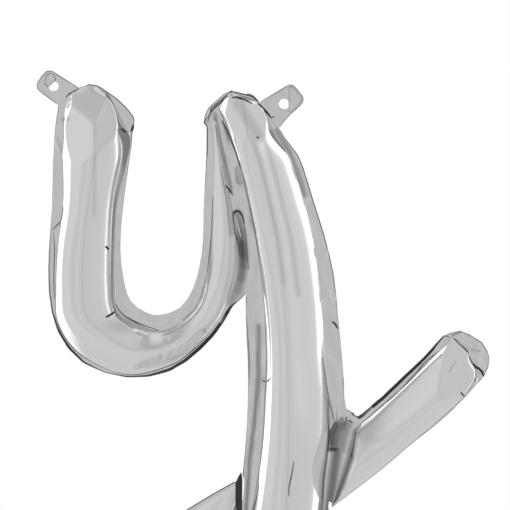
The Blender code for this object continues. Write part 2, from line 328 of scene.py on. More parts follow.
stem = {
    "name": "stemTube",
    "rows": (
        (47, -15, 98, -30, 0, 0.8, -0.12, 0.95), (54, -34, 103, -42, 0, 0.9, -0.20, 0.95),
        (63, -57, 114, -57, -0.7, 1, -0.25, 0.95), (70.5, -81, 121.5, -79, -1, 1, -0.26, 0.95),
        (75.5, -104, 128.5, -102, -1, 1, -0.26, 0.95), (82, -138, 136.8, -134, -0.9, 1, -0.27, 0.95),
        (87, -176, 142, -172, -0.6, 1, -0.29, 0.95), (90.5, -214, 146, -212, -0.4, 1, -0.29, 0.95),
        (91.5, -252, 148, -252, -0.2, 1, -0.28, 0.95), (90, -290, 152.5, -292, -0.2, 1, -0.28, 0.95),
        (87.5, -328, 153, -328, -0.2, 0.7, -0.26, 0.95), (83.5, -361, 149, -364, -0.2, 0.4, -0.22, 0.95),
        (78.5, -392, 145, -402, -0.2, 0.3, -0.18, 0.95), (69, -425, 130, -442, 0, 0.3, -0.10, 0.95),
        (57, -451, 113, -480, 0.2, 0.2, 0, 0.95), (42, -471, 79, -517, 0.3, 0.2, 0, 0.95),
        (29, -480, 39, -533, 0.4, 0.2, 0, 0.95), (17, -476, -3, -523, 0.4, 0.2, 0, 0.95),
        (12, -466, -30, -493, 0.4, 0.3, 0, 0.95), (14, -452, -36, -457, 0.5, 0.4, 0, 0.90),
        (26, -442, -22, -426, 0.7, 0.7, 0, 0.60), (42, -436, 8, -404, 0.9, 0.9, 0, 0.42),
        (56, -431, 37, -386, 0.9, 0.9, 0, 0.40), (62, -429, 64, -370, 0.9, 0.9, 0, 0.40),
    ),
    "start": {"length": 38, "seam": ((47, -15), (49, -10), (54, -3), (59.5, 2), (68, 0), (77, -3), (86, -8.5),
                                     (92.5, -18), (98, -30))},
    "finish": {"length": 24, "seam": None},
    "seed": 11,
}
tail = {
    "name": "tailTube",
    "rows": (
        (174, -318, 155, -391, 0.5, 0.3, 0.20, 0.95), (182, -311, 175, -376, 0.5, 0.3, 0.22, 0.95),
        (193, -303, 204, -353.5, 0.5, 0.2, 0.25, 0.95), (208, -290, 232, -329.5, 0.5, 0.2, 0.25, 0.95),
        (228, -271, 257, -309, 0.5, 0.2, 0.25, 0.95), (246, -253, 277, -290.5, 0.5, 0.2, 0.22, 0.95),
        (262, -237, 294, -272, 0.6, 0.3, 0.05, 0.95),
    ),
    "start": {"length": 16, "seam": None},
    "finish": {"length": 13, "seam": ((262, -237), (268.5, -231), (277, -236), (283.5, -243.5), (287, -252.5),
                                      (292, -261), (294, -272))},
    "seed": 23,
}


def catmull(rows, place):
    i = min(int(place), len(rows) - 2)
    t = place - i
    before, a, b, after = rows[max(i - 1, 0)], rows[i], rows[i + 1], rows[min(i + 2, len(rows) - 1)]
    return [0.5 * (2 * q + (r - p) * t + (2 * p - 5 * q + 4 * r - s) * t ** 2
                   + (3 * q - p - 3 * r + s) * t ** 3)
            for p, q, r, s in zip(before, a, b, after)]


def strokeStations(spec):
    fine = [catmull(spec["rows"], k / 40) for k in range((len(spec["rows"]) - 1) * 40 + 1)]
    middles = [Vector(((row[0] + row[2]) / 2, (row[1] + row[3]) / 2)) for row in fine]
    along = [0.0]
    for here, there in zip(middles, middles[1:]):
        along.append(along[-1] + (there - here).length)
    count = round(along[-1] / film["spacing"])
    stations, j = [], 0
    for k in range(count + 1):
        wanted = along[-1] * k / count
        while j < len(along) - 2 and along[j + 1] < wanted:
            j += 1
        t = (wanted - along[j]) / (along[j + 1] - along[j])
        row = [a + (b - a) * t for a, b in zip(fine[j], fine[j + 1])]
        stations.append({"first": Vector(row[0:2]), "second": Vector(row[2:4]), "shape": row[4:6],
                         "lean": row[6], "deep": row[7], "along": wanted})
    for k, station in enumerate(stations):
        ahead = stations[min(k + 1, count)]
        behind = stations[max(k - 1, 0)]
        step = ahead["first"] + ahead["second"] - behind["first"] - behind["second"]
        station["ahead"] = step.normalized()
        station["half"] = (station["second"] - station["first"]).length / 2
    return stations


def smooth(value):
    value = min(1.0, max(0.0, value))
    return value * value * (3 - 2 * value)


def closing(distance, length):
    return 1.0 if distance >= length else math.sqrt(max(0.0, 1 - (1 - distance / length) ** 2))


def acrossSpot(station, u):
    return station["first"].lerp(station["second"], (u + station["lean"] * (1 - u * u) + 1) / 2)


def crossRise(u, shape):
    t = abs(u)
    rounded = math.sqrt(max(0.0, 1 - t * t))
    if shape < 0:
        boxed = max(0.0, 1 - t ** 4) ** 0.25
        return rounded - (boxed - rounded) * shape
    straight = 1 - 1.035 * t * t / (t + 0.15) - 0.1 * t ** 7
    return rounded + (straight - rounded) * shape


def curveSpot(points, share):
    place = min(share * (len(points) - 1), len(points) - 1.001)
    return Vector(catmull(points, place))


def endShift(end, station, distance, u, angle):
    shift, fade = Vector((0, 0)), max(0.0, 1 - distance / end["length"]) ** 1.5
    if end["seam"]:
        shift = curveSpot(end["seam"], angle / math.pi) - acrossSpot(station, u)
    gone = distance + shift.length * (1 - fade)
    return shift * fade, closing(gone, end["length"])


def pillowMesh(spec, stations):
    count, wide = len(stations) - 1, film["acrossSteps"]
    total = stations[-1]["along"]
    bm = bmesh.new()
    alongLayer = bm.verts.layers.float.new("along")
    acrossLayer = bm.verts.layers.float.new("across")
    bmesh.ops.create_grid(bm, x_segments=count, y_segments=wide, size=1)
    for vert in bm.verts:
        station = stations[round((vert.co.x + 1) / 2 * count)]
        angle = math.pi * (vert.co.y + 1) / 2
        here = station["along"]
        u = -math.cos(angle)
        first, opened = endShift(spec["start"], stations[0], here, u, angle)
        last, closed = endShift(spec["finish"], stations[-1], total - here, u, angle)
        spot = acrossSpot(station, u) + first + last
        near, far = station["shape"]
        rise = crossRise(u, near if u < 0 else far)
        depth = station["deep"] * station["half"] * opened * closed
        vert[alongLayer], vert[acrossLayer] = here, u
        vert.co = Vector((spot.x, -depth * rise, spot.y)) * mm
    crease = bm.edges.layers.float.new("crease_edge")
    for edge in bm.edges:
        if edge.is_boundary:
            edge.seam = True
            edge[crease] = 1.0
    bmesh.ops.recalc_face_normals(bm, faces=bm.faces)
    copy = bmesh.ops.duplicate(bm, geom=bm.verts[:] + bm.edges[:] + bm.faces[:])["geom"]
    for item in copy:
        if isinstance(item, bmesh.types.BMVert):
            item.co.y = -item.co.y
        if isinstance(item, bmesh.types.BMFace):
            item.material_index = 1
    bmesh.ops.remove_doubles(bm, verts=bm.verts, dist=0.01 * mm)
    bmesh.ops.recalc_face_normals(bm, faces=bm.faces)
    return bm


inflation = {
    "scale": 10.0,          # the solver works best on a larger copy
    "frames": 20,
    "pressure": 4.0,
    "growth": -0.02,
    "start": 0.05,          # mm of unevenness that the creases grow from
    "share": 0.14,          # part of the solved movement that the film keeps
    "looseFrom": 2.0,       # mm from the seam, where the film starts to move
    "looseTo": 20.0,
    "heldFrom": 32.0,
    "growWithin": 26.0,
}


def inflate(bm, spec, stations):
    alongLayer = bm.verts.layers.float["along"]
    acrossLayer = bm.verts.layers.float["across"]
    total = stations[-1]["along"]
    held, grown = [], []
    for vert in bm.verts:
        station = stations[min(len(stations) - 1, round(vert[alongLayer] / total * (len(stations) - 1)))]
        fromSeam = station["half"] * math.acos(min(1.0, abs(vert[acrossLayer])))
        fromSeam = min(fromSeam, vert[alongLayer], total - vert[alongLayer])
        nearSeam = 1 - smooth(fromSeam / inflation["looseFrom"])
        farOff = smooth((fromSeam - inflation["looseTo"]) / (inflation["heldFrom"] - inflation["looseTo"]))
        held.append(max(nearSeam, farOff))
        grown.append(max(0.0, 1 - fromSeam / inflation["growWithin"]))
    bmesh.ops.scale(bm, vec=(inflation["scale"],) * 3, verts=bm.verts)
    mesh = bpy.data.meshes.new(spec["name"] + "Start")
    bm.to_mesh(mesh)
    bm.free()
    before = [vert.co.copy() for vert in mesh.vertices]
    made = bpy.data.objects.new(spec["name"] + "Start", mesh)
    bpy.context.scene.collection.objects.link(made)
    rng = random.Random(spec["seed"])
    pin, grow = made.vertex_groups.new(name="pin"), made.vertex_groups.new(name="grow")
    for vert, holding, growing in zip(mesh.vertices, held, grown):
        pin.add([vert.index], holding, "REPLACE")
        grow.add([vert.index], growing, "REPLACE")
        if holding < 0.99:
            uneven = vert.normal * rng.uniform(-1, 1) * inflation["start"]
            vert.co += uneven * mm * inflation["scale"] * growing
    cloth = made.modifiers.new("inflate", "CLOTH")
    setting = cloth.settings
    setting.quality = 6
    setting.mass = 0.3
    setting.air_damping = 2
    setting.tension_stiffness = setting.compression_stiffness = 30
    setting.shear_stiffness = 12
    setting.bending_stiffness = 0.15
    setting.tension_damping = setting.compression_damping = 8
    setting.shear_damping = 6
    setting.bending_damping = 0.5
    setting.use_pressure = True
    setting.uniform_pressure_force = inflation["pressure"]
    setting.vertex_group_mass = "pin"
    setting.pin_stiffness = 1
    setting.vertex_group_shrink = "grow"
    setting.shrink_min = 0
    setting.shrink_max = inflation["growth"]
    setting.effector_weights.gravity = 0
    cloth.collision_settings.use_collision = False
    cloth.point_cache.frame_end = inflation["frames"]
    bpy.context.scene.frame_end = inflation["frames"]
    for number in range(1, inflation["frames"] + 1):
        bpy.context.scene.frame_set(number)
    solved = bpy.data.meshes.new_from_object(made.evaluated_get(bpy.context.evaluated_depsgraph_get()))
    made.modifiers.clear()
    made.data = solved
    for vert, start in zip(solved.vertices, before):
        vert.co = start.lerp(vert.co, inflation["share"])
    finer = made.modifiers.new("finer", "SUBSURF")
    finer.levels = finer.render_levels = 1
    result = bpy.data.meshes.new_from_object(made.evaluated_get(bpy.context.evaluated_depsgraph_get()))
    bpy.data.objects.remove(made)
    bm = bmesh.new()
    bm.from_mesh(result)
    bpy.data.meshes.remove(result)
    bmesh.ops.scale(bm, vec=(1 / inflation["scale"],) * 3, verts=bm.verts)
    for name in ("seal", "rim", "fold"):
        bm.verts.layers.float.new(name)
    bm.verts.layers.int.new("seamNumber")
    return bm


# Local shaping: flat facets at the ends, folds pressed along lines, and painted shade darkening pockets and
# creases


def fromPicture(across, down):
    return (across - 168.75) * 0.95, (95.0 - down) * 0.95


def routeFrom(points):
    return tuple(fromPicture(*point) for point in points)


facets = (
    # three corners x, y, z of each plane that the film lies flat on
    ((-91.9, -9.8, -16.2), (-70.1, -21.0, -30.4), (-56.8, -8.5, -1.9)),
    ((-87.2, -10.6, -16.2), (-70.1, -21.0, -30.4), (-95.0, -17.0, -45.0)),
    ((-58.7, -8.2, -1.9), (-70.1, -21.0, -30.4), (-47.3, -17.0, -32.3)),
    ((-96.2, -1.6, -8.0), (-88.6, -9.0, -8.0), (-96.2, -5.8, -16.0)),
    ((60.8, -6.0, -7.6), (82.7, -24.5, -40.9), (60.0, -16.5, -35.0)),
    ((47.0, -0.3, -15.0), (54.0, -0.3, -3.0), (55.7, -6.9, -12.0)),
    ((54.0, -0.3, -3.0), (59.5, -0.3, 2.0), (60.8, -6.9, -4.9)),
    ((84.8, -0.4, -7.6), (98.1, -0.4, -21.9), (82.7, -9.4, -22.9)),
    ((278.0, -6.0, -254.5), (262.0, -6.0, -237.0), (255.9, -19.5, -274.8)),
)
folds = (
    # route x, z; half width; depth, less than 0 for a ridge
    (((-99, -22), (-92, -23)), 3.0, 0.9),
    (((-107, -43), (-99, -62)), 2.4, -2.6),
    (((-99.5, -107.5), (-111, -126.5)), 2.5, 1.0),
    (((-50, -211), (-28, -229.5)), 3.0, -0.6),
    (((85.4, -242), (85.4, -272), (82, -309), (76.5, -351)), 3.0, 0.9),
    (((-4, -232), (-6, -250)), 2.5, 0.5),
    (((-1, -232), (-1, -248)), 2.0, -0.4),
    (((149.5, -145), (151, -152)), 1.8, -1.8),
    (((156, -186), (157.5, -195)), 2.2, -2.2),
)
shades = tuple((routeFrom(points), wide, darkness) for points, wide, darkness in (
    # route across, down; half width in mm; darkness of the painted shade
    (((214.5, 114), (217, 127), (222, 150), (227, 172), (231, 190)), 3.4, 0.55),
    (((237.5, 213), (238, 223)), 7.0, 0.50),
    (((238.5, 221), (240, 233)), 7.0, 0.64),
    (((240, 231), (242, 245)), 7.5, 0.78),
    (((241.5, 243), (243, 257)), 8.0, 0.88),
    (((243, 255), (242.5, 267)), 8.0, 0.78),
    (((242.5, 265), (240.5, 279)), 8.0, 0.66),
    (((240.5, 277), (237, 291)), 8.0, 0.54),
    (((237, 289), (231, 302)), 8.0, 0.42),
    (((95.8, 127), (96, 160), (95.5, 215)), 3.0, 0.15),
    (((237, 103), (247, 118), (258.5, 137)), 9.0, 0.22),
    (((251, 137), (260, 160), (277.7, 240), (284, 284)), 3.4, 0.16),
    (((263.5, 137), (271, 160), (291, 240), (298, 294)), 4.2, 0.20),
    (((240, 163), (244.5, 180), (249.5, 204), (255, 232)), 3.0, 0.34),
    (((258.6, 326), (258.6, 382), (254.8, 420), (249.4, 464), (246, 512)), 3.4, 0.58),
    (((63.5, 119.5), (68, 119)), 3.2, 0.50),
    (((277, 131), (289, 152), (297, 172), (304, 195)), 5.0, 0.44),
    (((321, 360), (326, 397), (331, 421)), 5.0, 0.20),
    (((337, 425), (333, 434), (332, 444)), 6.5, 0.84),
    (((341, 424), (337, 434), (335, 446)), 9.0, 0.70),
    (((346, 425), (342, 436), (340, 448)), 9.5, 0.50),
    (((331, 449), (336.5, 449.3)), 5.0, 0.96),
    (((337, 452), (333, 478), (328.5, 512)), 8.0, 0.72),
    (((64, 208), (62, 220), (52.7, 229.5)), 1.4, 0.50),
))


def nearRoute(x, z, route, width):
    closest = None
    for (ax, az), (bx, bz) in zip(route, route[1:]):
        dx, dz = bx - ax, bz - az
        near = min(1.0, max(0.0, ((x - ax) * dx + (z - az) * dz) / (dx * dx + dz * dz)))
        apart = math.hypot(x - ax - dx * near, z - az - dz * near)
        if apart < width and (closest is None or apart < closest):
            closest = apart
    return closest


def foldPush(x, z):
    push = 0.0
    for route, width, depth in folds:
        apart = nearRoute(x, z, route, width)
        if apart is not None:
            push += depth * (1 - apart / width)
    return push


def foldShade(x, z):
    shade = 0.0
    for route, width, darkness in shades:
        apart = nearRoute(x, z, route, width)
        if apart is not None:
            shade = max(shade, darkness * smooth(1.15 * (1 - apart / width)))
    return shade


def facetPlane(corners):
    a, b, c = (Vector(corner) for corner in corners)
    normal = (b - a).cross(c - a)
    return a, normal


shaping = {
    "facetReach": 60.0,     # mm round a facet's first corner
    "seamBand": 0.5,        # mm of depth beside the seam that stay as they are
    "shallowest": -0.3,
    "firmFrom": 3.0,        # mm of depth at which folds and streaks are at full height
}


def shapeFilm(bm, spec):
    alongLayer = bm.verts.layers.float["along"]
    acrossLayer = bm.verts.layers.float["across"]
    foldLayer = bm.verts.layers.float["fold"]
    planes = [facetPlane(corners) for corners in facets]
    bm.normal_update()
    for vert in bm.verts:
        x, y, z = vert.co / mm
        arc = film["streakWave"] * math.acos(max(-1.0, min(1.0, vert[acrossLayer])))
        place = Vector((arc, vert[alongLayer] / film["streakLength"], spec["seed"] + (50 if y > 0 else 0)))
        firm = min(1.0, abs(y) / shaping["firmFrom"])
        vert.co += vert.normal * film["streak"] * mm * noise.noise(place) * firm
        x, y, z = vert.co / mm
        if abs(y) < shaping["seamBand"]:
            continue
        side = -1 if y < 0 else 1
        for corner, normal in planes:
            level = corner.y - (normal.x * (x - corner.x) + normal.z * (z - corner.z)) / normal.y
            inReach = math.hypot(x - corner.x, z - corner.z) < shaping["facetReach"]
            if inReach and level < shaping["shallowest"] and abs(y) > -level:
                y = side * -level
        if side < 0:
            y = min(shaping["shallowest"], y + foldPush(x, z) * firm)
            # painted shade of pockets and creases, on the front film only
            vert[foldLayer] = foldShade(x, z)
        vert.co.y = y * mm


# Flange of both films sealed together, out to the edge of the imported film

flange = {
    "layer": 0.12 * mm,     # half its thickness
    "widest": 20.0 * mm,
    "step": 0.25 * mm,
    "rows": (0.08, 0.2, 0.34, 0.5, 0.66, 0.82, 1.0, "line", "edge"),   # shares of the width inside its rim
    "least": 0.6 * mm,
    "neighbours": 14,       # seam points that count as the same stretch
    "wave": 1.6 * mm,
    "waveLength": 26 * mm,
    "waveFrom": 7 * mm,     # distance from the seam where the wave is at full height
    "calmWithin": 12 * mm,  # distance from a tab's root where it dies out
    "tabClear": 1.5 * mm,
    "lineStep": 0.3 * mm,
    "overlap": 0.5 * mm,
}

# Painted shade along the outline, where a curled edge would show dark: x, z, width of its dark line, darkness

edgeMarks = (
    (-80, 9, 1.2, 0.85), (-56, 3, 1.2, 0.85), (-33, -20, 1.1, 0.90), (-34, -34, 1.2, 0.75),
    (-36, -60, 1.0, 0.45), (-44, -120, 0.8, 0.10), (-20, -211, 0.8, 0.12), (34, -110, 0.8, 0.12),
    (31, -170, 0.8, 0.12), (15, -203, 0.8, 0.12),
    (34, -28, 1.3, 0.90), (46, -8, 1.4, 0.90), (62, 4, 1.3, 0.95), (83, -1, 1.6, 0.90),
    (105, -31, 0.9, 0.40), (128, -68, 1.1, 0.90), (146, -140, 1.1, 0.85), (159, -182, 1.0, 0.80),
    (165, -230, 0.8, 0.20), (167, -290, 0.8, 0.15), (179, -303, 3.4, 0.98), (212, -278, 3.4, 0.98),
    (246, -245, 3.0, 0.98), (262, -227, 1.4, 0.90), (294, -274, 1.0, 0.75), (240, -323, 1.0, 0.70),
    (157, -393, 1.0, 0.70), (-114, -60, 0.7, 0.10), (-112, -110, 0.7, 0.12), (-113, -150, 1.4, 0.60),
    (-111, -195, 1.4, 0.85), (-98, -232, 2.8, 0.98), (-84, -246, 2.2, 0.95), (-60, -263, 1.0, 0.80),
    (-32, -268, 1.8, 0.90), (0, -262, 3.0, 0.95), (34, -240, 3.8, 0.98), (56, -208, 3.6, 0.98),
    (69, -192, 1.1, 0.85), (77, -205, 0.7, 0.10), (75, -300, 0.7, 0.10), (47, -375, 1.2, 0.85),
    (23, -391, 1.2, 0.85), (150, -410, 0.8, 0.30), (0, -540, 0.8, 0.40), (-40, -470, 0.8, 0.40),
)
edgeTree = KDTree(len(edgeMarks))
for number, (x, z, width, darkness) in enumerate(edgeMarks):
    edgeTree.insert((x * mm, 0, z * mm), number)
edgeTree.balance()


def edgeTone(spot):
    total = width = darkness = 0.0
    for place, number, apart in edgeTree.find_n(Vector((spot.x, 0, spot.z)), 2):
        weight = 1 / (apart / mm + 0.5) ** 1.5
        total += weight
        width += weight * edgeMarks[number][2]
        darkness += weight * edgeMarks[number][3]
    return width / total * mm, darkness / total


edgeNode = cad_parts["front_film"]
edgeFinder = BVHTree.FromPolygons([v.co.copy() for v in edgeNode.data.vertices],
                                  [tuple(p.vertices) for p in edgeNode.data.polygons])


def covered(spot):
    return edgeFinder.ray_cast(Vector((spot.x, -1.0, spot.z)), Vector((0, 1, 0)))[0] is not None


def seamLoop(bm):
    edges = [edge for edge in bm.edges if edge.seam]
    first = edges[0]
    loop, edge, vert = [first.verts[0]], first, first.verts[1]
    while vert is not loop[0]:
        loop.append(vert)
        edge = next(other for other in vert.link_edges if other.seam and other is not edge)
        vert = edge.other_vert(vert)
    area = sum(a.co.x * b.co.z - b.co.x * a.co.z for a, b in zip(loop, loop[1:] + loop[:1]))
    return loop[::-1] if area < 0 else loop


def seamTree(spots):
    tree = KDTree(len(spots))
    for k, spot in enumerate(spots):
        tree.insert(spot, k)
    tree.balance()
    return tree


def rootDistance(spot):
    least = 1.0
    for tab in tabs:
        a, b = (Vector((x, 0, z)) * mm for x, z in tab["root"])
        near = min(1.0, max(0.0, (spot - a).dot(b - a) / (b - a).length_squared))
        least = min(least, (spot - a.lerp(b, near)).length)
    return least


def reachOut(k, spots, out, own, others):
    reach, ended = 0.0, "far"
    while reach < flange["widest"]:
        spot = spots[k] + out * (reach + flange["step"])
        if not covered(spot):
            ended = "rim"
            break
        foe = min((tree.find(spot)[2] for tree in others), default=1.0)
        nearest, index, gap = own.find(spot)
        apart = min(abs(index - k), len(spots) - abs(index - k))
        if foe < reach or (apart > flange["neighbours"] and gap < reach * 0.8):
            ended = "met"
            break
        reach += flange["step"]
    return max(reach, flange["least"]), ended


def ripple(spot, far):
    place = Vector((spot.x, spot.z, 0)) / flange["waveLength"]
    wave = noise.noise(place) + 0.45 * noise.noise(place * 2.7 + Vector((7, 3, 1)))
    calm = smooth(rootDistance(Vector((spot.x, 0, spot.z))) / flange["calmWithin"])
    push = foldPush(spot.x / mm, spot.z / mm) * mm
    return (wave * flange["wave"] + push) * calm * min(1.0, far / flange["waveFrom"])


def extrudeRing(bm, ring):
    grown = bmesh.ops.extrude_edge_only(bm, edges=ring)["geom"]
    edges = [item for item in grown if isinstance(item, bmesh.types.BMEdge) and item.is_boundary]
    return edges, [item for item in grown if isinstance(item, bmesh.types.BMVert)]


def addFlange(bm, loop, own, others):
    sealLayer = bm.verts.layers.float["seal"]
    rimLayer = bm.verts.layers.float["rim"]
    foldLayer = bm.verts.layers.float["fold"]
    numberLayer = bm.verts.layers.int["seamNumber"]
    count = len(loop)
    spots = [vert.co.copy() for vert in loop]
    outward = []
    for k in range(count):
        step = spots[(k + 2) % count] - spots[k - 2]
        outward.append(Vector((step.z, 0, -step.x)).normalized())
    found = [reachOut(k, spots, out, own, others) for k, out in enumerate(outward)]
    reaches = [sum(found[(k + j) % count][0] for j in (-1, 0, 1)) / 3 for k in range(count)]
    for k, vert in enumerate(loop):
        vert[numberLayer] = k + 1
    # Painted shade on the flange's outer line, from the edge marks, only where it ends at the film's cut edge
    # clear of a tab's root
    tones = []
    for k in range(count):
        place = spots[k] + outward[k] * reaches[k]
        width, darkness = edgeTone(place)
        apart = rootDistance(Vector((place.x, 0, place.z)))
        cutEdge = found[k][1] == "rim" and apart > flange["tabClear"]
        tones.append((width, darkness if cutEdge else 0.0))
    bmesh.ops.split_edges(bm, edges=[edge for edge in bm.edges if edge.seam])
    rims = []
    for side, sign in ((0, -1), (1, 1)):
        rim = [edge for edge in bm.edges if edge.is_boundary and edge.link_faces[0].material_index == side]
        for vert in {v for edge in rim for v in edge.verts}:
            vert.co.y = sign * flange["layer"]
        for row in flange["rows"]:
            rim, made = extrudeRing(bm, rim)
            for vert in made:
                k = vert[numberLayer] - 1
                width, darkness = tones[k]
                inner = max(reaches[k] - width, flange["lineStep"])
                if row == "edge":
                    far = reaches[k] + (flange["overlap"] if found[k][1] == "met" else 0.0)
                elif row == "line":
                    far = min(inner + flange["lineStep"], reaches[k] - 0.1 * mm)
                else:
                    far = inner * row
                vert.co = spots[k] + outward[k] * far
                # painted shade of pockets and creases on the flange
                vert[foldLayer] = foldShade(vert.co.x / mm, vert.co.z / mm)
                vert.co.y = sign * flange["layer"] + ripple(vert.co, far)
                vert[sealLayer] = 1.0
                vert[rimLayer] = darkness if row in ("line", "edge") else 0.0
        rims += rim
    bmesh.ops.bridge_loops(bm, edges=rims)
    return bm


def finishPiece(bm, name):
    bmesh.ops.recalc_face_normals(bm, faces=bm.faces)
    for face in bm.faces:
        face.smooth = True
        face.material_index = 0
    mesh = bpy.data.meshes.new(name)
    bm.to_mesh(mesh)
    bm.free()
    mesh.materials.append(filmMaterial)
    made = bpy.data.objects.new(name, mesh)
    bpy.context.scene.collection.objects.link(made)
    return made


# Tabs: root on the film's edge, outline beyond it, punched hole

tabs = (
    {
        "name": "leftHangTab", "node": "hang_tab_left", "body": "left_tab",
        "root": ((-106.0, -9.0), (-84.3, 6.2)),
        "outline": ((-111.4, 23.3), (-116.5, 22.8), (-121.0, 18.0), (-125.4, 11.0), (-125.2, 5.6),
                    (-118.5, 0.0)),
        "middle": (-109.5, 8.3), "hole": 4.7, "crumple": 0.35,
    },
    {
        "name": "rightHangTab", "node": "hang_tab_right", "body": "right_tab",
        "root": ((86.7, -6.6), (104.7, -31.3)),
        "outline": ((115.0, -19.0), (124.8, -10.5), (128.0, -6.2), (128.0, -1.9), (119.9, 8.1), (116.0, 10.2),
                    (111.5, 8.6)),
        "middle": (109.6, -8.6), "hole": 5.0, "crumple": 0.35,
    },
    {
        "name": "inflationFlap", "node": "inflation_flap", "body": "flap",
        "root": ((267.5, -229.5), (299.0, -268.0)),
        "outline": ((303.2, -259.5), (304.6, -251.0), (303.0, -244.0), (297.5, -235.0), (286.0, -227.6),
                    (277.0, -224.2)),
        "middle": (288.5, -243.5), "hole": 0.0, "crumple": 3.4,
    },
)
tabForm = {
    "sides": 96,
    "thickness": 0.26 * mm,
    "tuck": 1.6,            # mm that the root reaches under the film
    "hub": 1.0,             # radius where no hole is punched
    "rows": (0.12, 0.24, 0.36, 0.48, 0.6, 0.72, 0.84, 0.94),
    # width in mm of the painted shade along the tab's edge
    "rim": 1.5,
    # darkness of that painted shade
    "edgeDark": 0.88,
    "plainRoot": 0.4,       # mm past the root without a dark rim
    "stiffRoot": 8.0,       # mm over which the crumple grows
}


def edgeDistance(middle, direction, corners):
    best = 1e3
    for a, b in zip(corners, corners[1:] + corners[:1]):
        side = b - a
        across = direction.x * side.y - direction.y * side.x
        if abs(across) < 1e-9:
            continue
        gap = a - middle
        reach = (gap.x * side.y - gap.y * side.x) / across
        share = (gap.x * direction.y - gap.y * direction.x) / across
        if reach > 0 and -1e-6 <= share <= 1 + 1e-6:
            best = min(best, reach)
    return best


def aim(turn):
    return Vector((math.cos(turn), math.sin(turn)))


def reachesAround(middle, corners):
    sides = tabForm["sides"]
    turns = [2 * math.pi * k / sides for k in range(sides)]
    return turns, [edgeDistance(middle, aim(turn), corners) for turn in turns]


def numberRing(verts, layer, sides):
    for vert in verts:
        vert[layer] = round(math.atan2(vert.co.y, vert.co.x) / (2 * math.pi) * sides) % sides


def turnToFront(bm):
    bmesh.ops.recalc_face_normals(bm, faces=bm.faces)
    if sum(face.normal.y for face in bm.faces) > 0:
        bmesh.ops.reverse_faces(bm, faces=bm.faces)


def makeTab(tab):
    middle = Vector(tab["middle"])
    a, b = (Vector(point) for point in tab["root"])
    inward = Vector((-(b - a).y, (b - a).x)).normalized()
    if inward.dot(middle - a) > 0:
        inward = -inward
    outline = [Vector(point) for point in tab["outline"]]
    if (outline[0] - b).length > (outline[-1] - b).length:
        outline.reverse()
    corners = [a + inward * tabForm["tuck"], b + inward * tabForm["tuck"], b] + outline + [a]
    sides = tabForm["sides"]
    turns, reaches = reachesAround(middle, corners)
    reaches = [sum(reaches[(k + j) % sides] for j in (-1, 0, 1)) / 3 for k in range(sides)]
    bm = bmesh.new()
    rimLayer = bm.verts.layers.float.new("rim")
    sealLayer = bm.verts.layers.float.new("seal")
    numberLayer = bm.verts.layers.int.new("number")
    inner = tab["hole"] or tabForm["hub"]
    bmesh.ops.create_circle(bm, cap_ends=not tab["hole"], cap_tris=True, segments=sides, radius=inner)
    numberRing(bm.verts, numberLayer, sides)
    ring = [edge for edge in bm.edges if all(v.co.length > inner * 0.9 for v in edge.verts)]
    for row in (*tabForm["rows"], "inside", "edge"):
        ring, made = extrudeRing(bm, ring)
        for vert in made:
            k = vert[numberLayer]
            border = reaches[k] - tabForm["rim"]
            far = {"inside": border, "edge": reaches[k]}.get(row)
            if far is None:
                far = inner + (border - inner) * row
            vert.co = (aim(turns[k]) * far).to_3d()
            # painted shade at the tab's edge
            vert[rimLayer] = tabForm["edgeDark"] if row == "edge" else 0.0
    for vert in bm.verts:
        spot = Vector((vert.co.x + middle.x, vert.co.y + middle.y))
        away = max(0.0, -(spot - a).dot(inward))
        crumple = noise.noise(Vector((spot.x / 9, spot.y / 9, 4)))
        crumple += 0.15 * noise.noise(Vector((spot.x / 4, spot.y / 4, 9)))
        vert[sealLayer] = 1.0
        if away < tabForm["plainRoot"]:
            vert[rimLayer] = 0.0
        out = crumple * tab["crumple"] * min(1.0, away / tabForm["stiffRoot"])
        vert.co = Vector((spot.x, out, spot.y)) * mm
    turnToFront(bm)
    bmesh.ops.translate(bm, vec=(0, -tabForm["thickness"] / 2, 0), verts=bm.verts)
    bmesh.ops.solidify(bm, geom=bm.faces[:], thickness=tabForm["thickness"])
    piece = finishPiece(bm, tab["name"])
    foot = (a + b) / 2
    start, end = foot + inward * 0.9, foot - inward * 2.0
    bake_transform(piece, "envelope", tab["body"],
             start=(start.x * mm, 0, start.y * mm), end=(end.x * mm, 0, end.y * mm))
    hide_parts(tab["node"])
    print("made", tab["name"])


# Webs that close the corners between the strokes, and a sheet painted black as the shadow where the loop
# passes behind the stem

# shade: darkness of painted shade laid over a web; the loop's sheet is painted almost black as a shadow
webs = (
    {"name": "cupEndWeb", "shade": 0.0, "behind": 0.25, "crumple": 0.5, "outline": (
        (203.5, 123.5), (205, 114), (209, 107), (215.5, 101), (223, 94.5), (231.5, 90), (236, 97),
        (230, 112), (222, 126), (208, 127))},
    {"name": "crotchWeb", "shade": 0.0, "behind": 0.25, "crumple": 0.5, "outline": (
        (339, 392), (344.6, 396), (346.3, 409), (350.5, 411), (355, 416.5), (358, 424), (352, 444),
        (340, 444), (336, 420))},
    {"name": "tailTipWeb", "shade": 0.0, "behind": 0.25, "crumple": 0.4, "outline": (
        (440.5, 341.5), (443.8, 336), (449, 333.3), (460.5, 330.6), (467, 336), (461, 347), (449, 349))},
    {"name": "loopPaintedShadow", "shade": 0.97, "behind": -0.45, "crumple": 0.2, "outline": (
        (235.3, 483), (238.3, 476.5), (241.4, 471.5), (242.4, 480), (242, 512), (235.6, 512))},
    {"name": "leftTabCurl", "shade": 0.0, "behind": -0.75, "crumple": 2.2, "body": "left_tab", "outline": (
        (44.3, 83.5), (48, 87.5), (55.8, 80), (54.5, 75.5), (50, 72.8), (46, 75.5))},
    {"name": "rightTabFold", "shade": 0.0, "behind": -0.55, "crumple": 0.7, "body": "right_tab", "outline": (
        (288.6, 87.5), (291.5, 86.3), (296, 91), (301.8, 98), (301.3, 101.5), (294, 109.5), (288.6, 112))},
)


